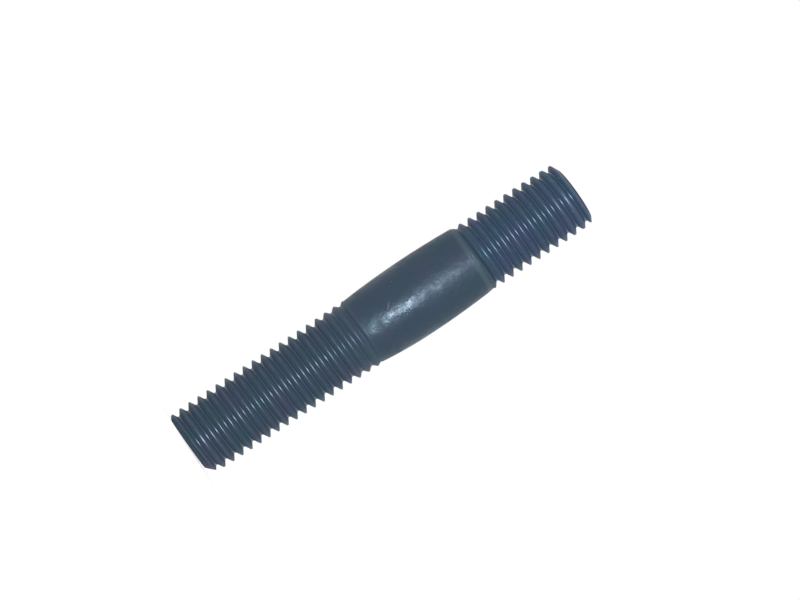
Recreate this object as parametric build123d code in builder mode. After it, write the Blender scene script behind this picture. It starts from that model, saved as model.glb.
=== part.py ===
"""Double-ended stud, M12 x 1.75, turned and thread-rolled from one steel bar.

The stud stands on the face of its long end. The origin is the centre of that face, and
+Z runs along the axis to the short end. All sizes are in millimetres.
"""

import os
from math import atan, cos, degrees

from build123d import *

# Heights along the axis, from the face of the long end.
overall_length = 75.0
barrel_start = 34.2  # the long thread ends here
crown_height = 44.3  # the barrel is thickest here
shoulder_height = 54.2  # the barrel turns in here
neck_height = 55.5  # the short thread starts here

# Diameters.
major_diameter = 12.0
barrel_start_diameter = 11.7
crown_diameter = 12.77
shoulder_diameter = 12.02
neck_diameter = 11.72
end_face_diameter = 9.2

# Short cones, as lengths along the axis.
end_chamfer = 1.2  # from each end face up to the major diameter
thread_shoulder = 0.6  # from the barrel or the neck up to the major diameter

# Thread: ISO metric coarse, right-hand. Its crests, pitch and run-outs have their real
# sizes. Its groove is a V of the full width that is cut to about half the full depth.
pitch = 1.75
crest_land = pitch / 8
groove_depth = 0.55
tool_clearance = 0.05  # the groove's mouth stands this far outside the crests

# Each groove starts outside its end face, on the +X side, and winds towards the barrel:
# whole turns at full depth, then a cone on which it fades out.
long_groove_start = -3.05
long_full_turns = 20
long_fade_turns = 1.25
short_groove_start = -2.45
short_full_turns = 12
short_fade_turns = 0.5

major_radius = major_diameter / 2


def groove(turns, fades=False):
    """A V groove wound from height 0, at full depth or fading out on a cone."""
    cone = atan(groove_depth / (turns * pitch)) if fades else 0
    overrun = 1.1 if fades else 1  # takes the tip of the V clear of the crests
    mouth_radius = major_radius + tool_clearance
    half_mouth = (pitch - crest_land) / 2 * (1 + tool_clearance / groove_depth)
    with BuildPart() as cutter:
        with BuildLine() as path:
            Helix(
                pitch / cos(cone),
                overrun * turns * pitch,
                major_radius,
                cone_angle=degrees(cone),
            )
        with BuildSketch(Plane.XZ):
            with BuildLine():
                Polyline(
                    (mouth_radius, -half_mouth),
                    (major_radius - groove_depth, 0),
                    (mouth_radius, half_mouth),
                    close=True,
                )
            make_face()
        sweep(path=path.line, is_frenet=True)
    return cutter.part


full_turn = groove(1)
long_fade = groove(long_fade_turns, fades=True)
short_fade = groove(short_fade_turns, fades=True)

with BuildPart() as stud:
    # The blank: a chamfered rod for each thread, and the barrel between them.
    with BuildSketch(Plane.XZ):
        with BuildLine():
            long_rod = Polyline(
                (0, 0),
                (end_face_diameter / 2, 0),
                (major_radius, end_chamfer),
                (major_radius, barrel_start - thread_shoulder),
                (barrel_start_diameter / 2, barrel_start),
            )
            crown = (crown_diameter / 2, crown_height)
            TangentArc(crown, long_rod @ 1, tangent=(0, -1))
            fall = TangentArc(
                crown, (shoulder_diameter / 2, shoulder_height), tangent=(0, 1)
            )
            turn_in = TangentArc(
                fall @ 1, (neck_diameter / 2, neck_height), tangent=fall % 1
            )
            Polyline(
                turn_in @ 1,
                (major_radius, neck_height + thread_shoulder),
                (major_radius, overall_length - end_chamfer),
                (end_face_diameter / 2, overall_length),
                (0, overall_length),
                (0, 0),
            )
        make_face()
    revolve(axis=Axis.Z)

    # The long thread, from the bottom up.
    for turn in range(long_full_turns):
        with Locations((0, 0, long_groove_start + turn * pitch)):
            add(full_turn, mode=Mode.SUBTRACT)
    with Locations((0, 0, long_groove_start + long_full_turns * pitch)):
        add(long_fade, mode=Mode.SUBTRACT)

    # The short thread, from the top down.
    with Locations(Location((0, 0, overall_length), (180, 0, 0))):
        for turn in range(short_full_turns):
            with Locations((0, 0, short_groove_start + turn * pitch)):
                add(full_turn, mode=Mode.SUBTRACT)
        with Locations((0, 0, short_groove_start + short_full_turns * pitch)):
            add(short_fade, mode=Mode.SUBTRACT)

stud.part.label = "stud"

os.makedirs("parts", exist_ok=True)
export_step(stud.part, "parts/stud.step")
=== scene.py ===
import bpy
import numpy as np
from mathutils import Matrix, Vector


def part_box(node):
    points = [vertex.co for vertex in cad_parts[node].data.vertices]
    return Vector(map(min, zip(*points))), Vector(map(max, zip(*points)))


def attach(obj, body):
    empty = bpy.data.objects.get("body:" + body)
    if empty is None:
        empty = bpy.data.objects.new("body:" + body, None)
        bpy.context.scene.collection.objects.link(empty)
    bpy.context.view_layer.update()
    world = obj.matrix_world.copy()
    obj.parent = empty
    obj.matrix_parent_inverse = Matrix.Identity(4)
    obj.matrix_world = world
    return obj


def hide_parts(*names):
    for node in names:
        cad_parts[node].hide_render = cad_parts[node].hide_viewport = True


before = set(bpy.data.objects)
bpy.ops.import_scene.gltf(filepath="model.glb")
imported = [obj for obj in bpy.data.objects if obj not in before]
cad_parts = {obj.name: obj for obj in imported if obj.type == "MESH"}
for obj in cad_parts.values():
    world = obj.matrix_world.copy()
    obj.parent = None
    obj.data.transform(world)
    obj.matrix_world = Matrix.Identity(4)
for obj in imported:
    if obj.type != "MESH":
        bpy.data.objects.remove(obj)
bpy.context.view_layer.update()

# ---------------------------------------------------------------------------
# The stud: one steel bar, which stands on the face of its long end. The bar is
# turned to a barrel in the middle, and a 60-degree metric thread is rolled on
# each end of it. The threads run out beside the barrel, the long one slowly.
# ---------------------------------------------------------------------------

low, high = (np.array(corner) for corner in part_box("stud"))
stud_length = high[2] - low[2]
crown_radius = (high[0] - low[0]) / 2

mm = 0.001
crest_radius = 6.0 * mm
pitch = 1.75 * mm
crest_land = pitch / 8
full_depth = 1.02 * mm  # of a groove, from its crests down
groove_start = 0.45 * mm  # height of a groove's middle on the +X side

# Heights from the face of the long end, in the order in which they come.
long_thinning_end = 4 * mm  # below this the long rod gets thinner
long_taper_start = 33.6 * mm  # and above this it tapers off into the barrel
barrel_start = 34.1 * mm
crown_height = 44.3 * mm  # the barrel is thickest here
shoulder_height = 54.2 * mm  # the barrel turns in here
barrel_end = 54.9 * mm
short_taper_end = 55.8 * mm  # below this the short rod tapers off
short_thinning_start = 69 * mm  # and above this it gets thinner

thinning = 0.035  # radius lost for each length along a rod's thinner end
long_taper, short_taper = 0.5, 0.4  # and along its taper


def bar_radius(height, around):
    """The bar before threading: the largest of the long rod, the barrel and the short
    rod. A rod keeps the crest radius, but gets a little thinner towards its end face and
    tapers off towards the barrel. The barrel falls from its crown by distance squared
    over twice the radius of its arc, and once more where it turns in to the neck. It was
    turned a little askew, so that its crown and its neck lie lower at +X than at -X."""
    across = np.cos(2 * np.pi * around)
    long_rod = crest_radius - long_taper * np.maximum(0, height - long_taper_start)
    long_rod -= thinning * np.maximum(0, long_thinning_end - height)
    short_rod = crest_radius - short_taper * np.maximum(0, short_taper_end - height)
    short_rod -= thinning * np.maximum(0, height - short_thinning_start)
    past_crown = height - (crown_height - 1.2 * mm * across)
    past_shoulder = np.maximum(0, height - (shoulder_height - 0.4 * mm * across))
    lower_arc, upper_arc, neck_arc = (106 - 30 * across) * mm, 150 * mm, 12.8 * mm
    crown_arc = np.where(past_crown < 0, lower_arc, upper_arc)
    barrel = crown_radius - past_crown**2 / (2 * crown_arc)
    barrel -= past_shoulder**2 / (2 * neck_arc)
    return np.maximum(np.maximum(long_rod, barrel), short_rod)


# How far each edge is rounded over.
root_edge = 0.08 * mm
groove_edge = 0.04 * mm
long_chamfer_edge = 0.4 * mm
short_chamfer_edge = 0.2 * mm


def rounded_least(a, b, edge):
    """The smaller of two, rounded where they meet: half of their sum, less half of the
    root of their squared difference and squared edge."""
    return (a + b - np.sqrt((a - b) ** 2 + edge**2)) / 2


def groove_depth(offset):
    """How far the full groove lies under the crests, by the distance from its middle
    along the axis: flanks at 30 degrees to the radius, which start half a land away from
    the middle of a crest, down to a slightly hollow root."""
    flank = (pitch / 2 - crest_land / 2 - np.abs(offset)) * np.tan(np.radians(60))
    return rounded_least(flank, full_depth, root_edge)


def rolled_share(height):
    """The share of the full depth that the dies reached, read between a few heights: all
    of it on both threads, less from the last turns of the long one, none at the barrel."""
    heights = np.array([27.0, 30.0, 33.0, 34.3, 54.6, 56.9]) * mm
    shares = [1, 0.65, 0.5, 0, 0, 1]
    return np.interp(height, heights, shares)


face_tilt = 0.033  # both faces are cut about 2 degrees out of square


def lower_end(around):
    """Radius and height of the rim of the long end, and how fast its chamfer widens. The
    face is lowest at -X, and the chamfer was ground off centre, so that the rim is wider
    there and the chamfer shorter."""
    across = np.cos(2 * np.pi * around)
    mean_rim, off_centre = 4.75 * mm, 0.40 * mm
    rim = mean_rim - off_centre * across
    rim_height = face_tilt * (mean_rim + off_centre + rim * across)
    return rim, rim_height, 1.65 - 0.6 * across


def upper_end(around):
    """The same for the short end, whose face is parallel to the other and highest at +X,
    where its rim is wider."""
    across = np.cos(2 * np.pi * around)
    mean_rim, off_centre = 4.68 * mm, 0.27 * mm
    rim = mean_rim + off_centre * across
    rim_height = stud_length - face_tilt * (mean_rim + off_centre - rim * across)
    return rim, rim_height, 1.9 - 0.1 * across


def stud_skin(around, along):
    """A point of the skin. `around` is the fraction of a turn from +X and `along` counts
    pitches, so height = groove start + pitch x (along + around), and the rows climb with
    the thread. The radius is the least of the bar, the chamfers and the groove's floor,
    which lies under the crests by the depth times the share and rises clear of the
    barrel between the threads."""
    lower_rim, lower_height, lower_slope = lower_end(around)
    upper_rim, upper_height, upper_slope = upper_end(around)
    height = groove_start + pitch * (along + around)
    height = np.clip(height, lower_height, upper_height)
    long_chamfer = lower_rim + lower_slope * (height - lower_height)
    short_chamfer = upper_rim + upper_slope * (upper_height - height)
    bar = rounded_least(bar_radius(height, around), long_chamfer, long_chamfer_edge)
    bar = rounded_least(bar, short_chamfer, short_chamfer_edge)
    offset = pitch * (along - np.round(along))
    clear = np.maximum(0, np.minimum(height - barrel_start, barrel_end - height))
    groove_floor = crest_radius - groove_depth(offset) * rolled_share(height) + clear
    radius = rounded_least(bar, groove_floor, groove_edge)
    angle = 2 * np.pi * around
    return np.stack([radius * np.cos(angle), radius * np.sin(angle), low[2] + height], -1)


def thread_zones(around, along):
    """Where the skin is root, flank or crest of the thread: 1 in the middle of each zone
    of a full groove, falling to 0 over its borders, times the share of the depth. And
    where it is the rim of the short end: 1 at the rim, 0 a little below it. The borders
    are in mm, off the middle of the groove or below the rim."""
    root_border, crest_border, rim_border = [0.14, 0.24], [0.69, 0.77], [0.10, 0.35]
    height = groove_start + pitch * (along + around)
    off_middle = pitch * np.abs(along - np.round(along)) / mm
    below_rim = (upper_end(around)[1] - height) / mm
    root = np.interp(off_middle, root_border, [1, 0])
    flank = np.interp(off_middle, root_border + crest_border, [0, 1, 1, 0])
    crest = np.interp(off_middle, crest_border, [0, 1])
    rim = np.interp(below_rim, rim_border, [1, 0])
    share = rolled_share(height) * (1 - rim)
    return {"root": root * share, "flank": flank * share, "crest": crest * share, "rim": rim}


# Rows of points across one pitch, as offsets from the middle of the groove in mm: close
# together at the root and the crest, further apart on the flanks.
half_pitch = np.array([0.05, 0.10, 0.15, 0.22, 0.32, 0.43, 0.54, 0.65, 0.72, 0.76, 0.80])
one_pitch = np.concatenate([-half_pitch[::-1], [0], half_pitch, [pitch / 2 / mm]]) * mm
pitches = np.arange(-1, int(stud_length / pitch) + 3)
along = (pitches[:, None] + one_pitch / pitch).ravel()[:, None]
columns = 84
around = np.arange(columns)[None, :] / columns
rows = len(along)
skin = stud_skin(around, along)

# Each column ends at the rims: what lies beyond a rim is the rim's own point.
heights = groove_start + pitch * (along + around)
first = np.argmax(heights > lower_end(around)[1], axis=0) - 1
last = np.argmax(heights >= upper_end(around)[1], axis=0)


def number(row, column):
    """The number of the point at a row and a column. After a whole turn, a row goes on as
    the row that lies one pitch higher in the first column."""
    row = row + len(one_pitch) * (column // columns)
    column = column % columns
    return np.clip(row, first[column], last[column]) * columns + column


row, column = np.meshgrid(np.arange(rows - 1), np.arange(columns), indexing="ij")
corners = [
    number(row, column),
    number(row, column + 1),
    number(row + 1, column + 1),
    number(row + 1, column),
]
points = [skin.reshape(-1, 3)]
triangles = [
    np.stack([corners[0], corners[1], corners[2]], -1).reshape(-1, 3),
    np.stack([corners[0], corners[2], corners[3]], -1).reshape(-1, 3),
]


def end_face(rim, first_number):
    """A flat end: a ring of points, which are the rim's drawn in a little towards the
    middle of the face, and a fan from that middle. The rim's numbers run anticlockwise
    as seen from outside."""
    drawn_in = 0.985
    rim_points = points[0][rim]
    middle = rim_points.mean(axis=0)
    ring_points = middle + drawn_in * (rim_points - middle)
    ring = first_number + np.arange(columns)
    rim_next, ring_next = np.roll(rim, -1), np.roll(ring, -1)
    hub = np.full(columns, first_number + columns)
    fans = [(rim, rim_next, ring_next), (rim, ring_next, ring), (ring, ring_next, hub)]
    return np.concatenate([ring_points, [middle]]), [np.stack(fan, -1) for fan in fans]


every_column = np.arange(columns)
for rim in (number(first, every_column)[::-1], number(last, every_column)):
    face_points, face_triangles = end_face(rim, sum(len(group) for group in points))
    points.append(face_points)
    triangles.extend(face_triangles)

# Points beyond the rims and triangles that shrank to a line are left out.
zones = {
    name: np.concatenate([values.ravel(), np.zeros(2 * (columns + 1))])
    for name, values in thread_zones(around, along).items()
}
zones["face"] = np.concatenate([np.zeros(rows * columns), np.ones(2 * (columns + 1))])
points = np.concatenate(points)
triangles = np.concatenate(triangles)
a, b, c = triangles.T
triangles = triangles[(a != b) & (b != c) & (c != a)]
used, triangles = np.unique(triangles, return_inverse=True)

skin_mesh = bpy.data.meshes.new("stud_skin")
skin_mesh.from_pydata(points[used].tolist(), [], triangles.reshape(-1, 3).tolist())
skin_mesh.shade_smooth()
for name, values in zones.items():
    layer = skin_mesh.attributes.new(name, "FLOAT", "POINT")
    layer.data.foreach_set("value", values[used])
stud = bpy.data.objects.new("rolled_stud", skin_mesh)
bpy.context.scene.collection.objects.link(stud)

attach(stud, "root")
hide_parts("stud")

# ---------------------------------------------------------------------------
# The finish: steel blued in a hot bath, dark blue-black. The barrel has fine
# dents under the blueing, from the furnace. The dies left the flanks dull and
# the roots smooth, and handling has rubbed the crests brighter in places.
# ---------------------------------------------------------------------------


class Wire:
    """A socket that gives a value. +, - and * between wires and numbers add Math nodes,
    from either side, and node() adds a node of any kind."""

    def __init__(self, socket):
        self.socket = socket

    @classmethod
    def node(cls, tree, kind, settings=None, sockets=None, result=None):
        """A new node of a kind. Its settings are set first, then each socket, by its
        name or its number, gets a wire or a value. The named result is given back, or
        the first one."""
        made = tree.nodes.new("ShaderNode" + kind)
        for name, value in (settings or {}).items():
            setattr(made, name, value)
        usable = {socket.name: socket for socket in made.inputs if socket.enabled}
        for name, value in (sockets or {}).items():
            socket = usable[name] if name in usable else made.inputs[name]
            if isinstance(value, Wire):
                tree.links.new(value.socket, socket)
            else:
                socket.default_value = value
        results = {socket.name: socket for socket in made.outputs if socket.enabled}
        return cls(results.get(result) or next(iter(results.values()), None))

    def math(self, operation, *values):
        """The result of a Math node on some wires and numbers."""
        tree = self.socket.id_data
        return self.node(tree, "Math", {"operation": operation}, dict(enumerate(values)))

    def __add__(self, other):
        return self.math("ADD", self, other)

    def __sub__(self, other):
        return self.math("SUBTRACT", self, other)

    def __rsub__(self, other):
        return self.math("SUBTRACT", other, self)

    def __mul__(self, other):
        return self.math("MULTIPLY", self, other)

    __radd__ = __add__
    __rmul__ = __mul__

    def rise(self, start, end):
        """0 up to the start, 1 from the end on, and a soft slope between them."""
        settings = {"interpolation_type": "SMOOTHSTEP"}
        sockets = {"Value": self, "From Min": start, "From Max": end}
        return self.node(self.socket.id_data, "MapRange", settings, sockets)

    def blend(self, plain, other):
        """A colour: the plain one where this wire is 0, the other one where it is 1."""
        sockets = {"Factor": self, "A": plain, "B": other}
        settings = {"data_type": "RGBA"}
        return self.node(self.socket.id_data, "Mix", settings, sockets, "Result")

    def times(self, tint):
        """A colour multiplied by a tint."""
        sockets = {"Factor": 1.0, "A": self, "B": tint}
        settings = {"data_type": "RGBA", "blend_type": "MULTIPLY"}
        return self.node(self.socket.id_data, "Mix", settings, sockets, "Result")


finish = bpy.data.materials.new("blued_steel")
finish.use_nodes = True
steel = finish.node_tree
steel.nodes.clear()
place = Wire.node(steel, "TexCoord", result="Object")
root, flank, crest, face, rim = (
    Wire.node(steel, "Attribute", {"attribute_name": name}, result="Fac")
    for name in ("root", "flank", "crest", "face", "rim")
)


def speckle(size, detail):
    """Noise from 0 to 1 with lumps of about the given size in metres."""
    sockets = {"Vector": place, "Scale": 1 / size, "Detail": detail}
    return Wire.node(steel, "TexNoise", {}, sockets, "Fac")


dents = speckle(1.8 * mm, 3)
grain = speckle(0.5 * mm, 2)
patches = speckle(5 * mm, 1)
rubs = speckle(2.4 * mm, 2)
wisps = speckle(1.2 * mm, 3)

# Fine rings, left on the end faces by the tool that faced them. A wave's scale is the
# number of its waves in a length of pi / 10.
ring_step = 0.48333 * mm
rings = {"wave_type": "RINGS", "rings_direction": "Z"}
ring_sockets = {"Vector": place, "Scale": np.pi / 10 / ring_step}
turning = Wire.node(steel, "TexWave", rings, ring_sockets, "Fac")

# The place in millimetres: sideways, from the front to the back, and up the stud.
side, depth, height = (
    Wire.node(steel, "SeparateXYZ", {}, {"Vector": place}, axis) * (1 / mm)
    for axis in "XYZ"
)

# The tones of the zones and marks, and the tints that vary them.
blue_black = (0.0295, 0.0525, 0.086, 1)
# Flanks and roots: the oxide, lightened by painted light against the shade in the grooves.
flank_blue_painted_light = (0.0440, 0.0750, 0.121, 1)
root_blue_painted_light = (0.0340, 0.0600, 0.097, 1)
crest_blue = (0.0660, 0.0945, 0.140, 1)
rubbed_steel = (0.0850, 0.1160, 0.158, 1)
# The rim's near black is painted shade.
rim_painted_shade = (0.0120, 0.0200, 0.032, 1)
scratch_grey = (0.11, 0.14, 0.17, 1)
face_grey = (0.036, 0.053, 0.076, 1)
untinted = (1, 1, 1, 1)
greenish = (0.88, 1.06, 0.95, 1)
violet = (1.18, 0.97, 1.06, 1)
deep_blue = (1.03, 1.05, 1.20, 1)

# The zones of the thread, with their crests rubbed brighter in places. The flanks and
# roots are painted lighter than the oxide, as painted light against the shade in the
# grooves.
colour = flank.blend(blue_black, flank_blue_painted_light)
colour = root.blend(colour, root_blue_painted_light)
colour = crest.blend(colour, rubs.rise(0.40, 0.65).blend(crest_blue, rubbed_steel))

# The edge where the barrel turns in to the neck is lighter, in the tone of rubbed steel:
# a painted highlight.
shoulder_painted_highlight = height.rise(54.0, 54.6) * (1 - height.rise(54.9, 55.3))
colour = (0.4 * shoulder_painted_highlight).blend(colour, rubbed_steel)
colour = face.blend(colour, face_grey)
# The rim of the short end is painted near black: painted shade.
colour = rim.blend(colour, rim_painted_shade)

# The blueing runs from greenish to violet in patches, and is bluer on the short end.
tint = patches.rise(0.35, 0.50).blend(greenish, untinted)
tint = patches.rise(0.55, 0.68).blend(tint, violet)
colour = colour.times(tint)
colour = colour.times(height.rise(55, 57).blend(untinted, deep_blue))

# One short scratch runs aslant over the front of the barrel. It fades with the squared
# distances from its line and, along the line, from its middle.
slant_cosine, slant_sine = 0.688, 0.726
from_side, from_height = side + 1.25, height - 39.25
off_line = slant_cosine * from_side + slant_sine * from_height
down_line = slant_cosine * from_height - slant_sine * from_side
in_front = (0 - depth).rise(0, 1)
near_line = (1 - (off_line * off_line).rise(0.001, 0.02)) * in_front
scratch = near_line * (1 - (down_line * down_line).rise(0.05, 0.6)) * 0.8
colour = scratch.blend(colour, scratch_grey)

# The oxide on the flanks has no metal's sheen, while the rubbed crests are nearly bare.
# The rim is near-black metal, as painted shade. The barrel is glossier over a band below
# its crown, and in fine wisps.
smooth = 1 - 0.8 * flank - root - 0.7 * crest
worn = height.rise(36.5, 39) * (1 - height.rise(42.5, 45.5)) * rubs.rise(0.25, 0.5)
metallic = 0.4 - 0.4 * flank - 0.15 * root + 0.6 * crest + 0.6 * rim
roughness = 0.44 - 0.13 * worn + 0.17 * flank - 0.16 * root - 0.08 * crest
roughness = roughness + 0.10 * face + 0.50 * smooth * (wisps - 0.5)

# Dents and grain on what is smooth, fewer on the end faces, which have the rings.
dent_depth = 0.15 * mm
relief = smooth * (0.8 * dents + 0.2 * grain) * (1 - 0.7 * face) + 0.10 * face * turning
bump_sockets = {"Strength": 1.0, "Distance": dent_depth, "Height": relief}
bump = Wire.node(steel, "Bump", {}, bump_sockets, "Normal")
shader = Wire.node(
    steel,
    "BsdfPrincipled",
    {},
    {
        "Base Color": colour,
        "Metallic": metallic,
        "Roughness": roughness,
        "Normal": bump,
        "IOR": 1.45,
        "Specular Tint": (0.88, 0.94, 1.0, 1),
    },
)
Wire.node(steel, "OutputMaterial", {}, {"Surface": shader})
skin_mesh.materials.append(finish)

# ---------------------------------------------------------------------------
# The floor: a large sheet of matt white card. It is lit like the stud and
# keeps the stud's shadow, and shines just enough to be white to the eye.
# ---------------------------------------------------------------------------

half_card = 4  # metres
card_mesh = bpy.data.meshes.new("card")
card_corners = [
    (half_card * x, half_card * y, low[2]) for x, y in ((-1, -1), (1, -1), (1, 1), (-1, 1))
]
card_mesh.from_pydata(card_corners, [], [(0, 1, 2, 3)])
card = bpy.data.objects.new("card", card_mesh)
bpy.context.scene.collection.objects.link(card)

matt_white = bpy.data.materials.new("matt_white")
matt_white.use_nodes = True
paper = matt_white.node_tree
paper.nodes.clear()


def seen(tree):
    """1 for what the eye sees straight or through glass, and 0 for light that falls on a
    thing, scatters or mirrors."""
    rays = [
        Wire.node(tree, "LightPath", result=name)
        for name in ("Is Camera Ray", "Is Transmission Ray")
    ]
    return rays[0].math("MAXIMUM", *rays)


card_white = (0.95, 0.95, 0.95, 1)
glow_share = 0.62
matt = Wire.node(paper, "BsdfDiffuse", {}, {"Color": card_white})
glow = Wire.node(paper, "Emission", {}, {"Strength": 1.2})
both = Wire.node(paper, "MixShader", {}, {0: glow_share * seen(paper), 1: matt, 2: glow})
Wire.node(paper, "OutputMaterial", {}, {"Surface": both})
card_mesh.materials.append(matt_white)

# ---------------------------------------------------------------------------
# The light: a white room, and one low strip light before the stud, which is a
# frosted panel that stands on the floor.
# ---------------------------------------------------------------------------

room = bpy.data.worlds.new("white_room")
room.use_nodes = True
walls = room.node_tree
walls.nodes.clear()
brightness = 0.85 + 0.15 * seen(walls)
wall_sockets = {"Color": (1, 1, 1, 1), "Strength": brightness}
wall = Wire.node(walls, "Background", {}, wall_sockets)
Wire.node(walls, "OutputWorld", {}, {"Surface": wall})
bpy.context.scene.world = room

lamp = bpy.data.lights.new("strip_light", "AREA")
lamp.shape = "RECTANGLE"
lamp.size, lamp.size_y = 0.24, 0.07
lamp.energy = 7.2
lamp.color = (1, 0.98, 0.88)
strip = bpy.data.objects.new("strip_light", lamp)
bpy.context.scene.collection.objects.link(strip)
strip.location = (0.114, -1.12, low[2] + 0.036)
away = Vector((strip.location.x, strip.location.y, 0))
strip.rotation_euler = away.to_track_quat("Z", "Y").to_euler()
strip.visible_camera = False

# ---------------------------------------------------------------------------
# The camera: just above the floor, looking slightly up, and leaned over to its
# side, so that the standing stud lies across the picture.
# ---------------------------------------------------------------------------


def unit(vector):
    """The vector divided by its own length."""
    return vector / np.linalg.norm(vector)


middle = (low + high) / 2
eye_distance, eye_height = 553 * mm, 14.45 * mm
eye = np.array([0, -eye_distance, low[2] + eye_height])

# The picture's right and up lean away from the stud's axis, as seen from the eye.
back = unit(eye - middle)
axis = unit(np.array([0, 0, 1]) - back[2] * back)
across = np.array([1, 0, 0])
lean = np.radians(33.42)
right = np.cos(lean) * axis + np.sin(lean) * across
up = np.sin(lean) * axis - np.cos(lean) * across

# The eye looks a little past the stud's middle.
aim = middle + 2.883 * mm * right + 3.067 * mm * up
back = unit(eye - aim)
right = unit(np.cross(up, back))
up = np.cross(back, right)

camera = bpy.data.cameras.new("camera")
camera.sensor_width = 36
camera.lens = 153.6
camera.clip_start = 0.01
eye_point = bpy.data.objects.new("camera", camera)
bpy.context.scene.collection.objects.link(eye_point)
eye_point.matrix_world = Matrix(np.column_stack([right, up, back, eye]).tolist()).to_4x4()
bpy.context.scene.camera = eye_point
bpy.context.scene.view_settings.view_transform = "Standard"
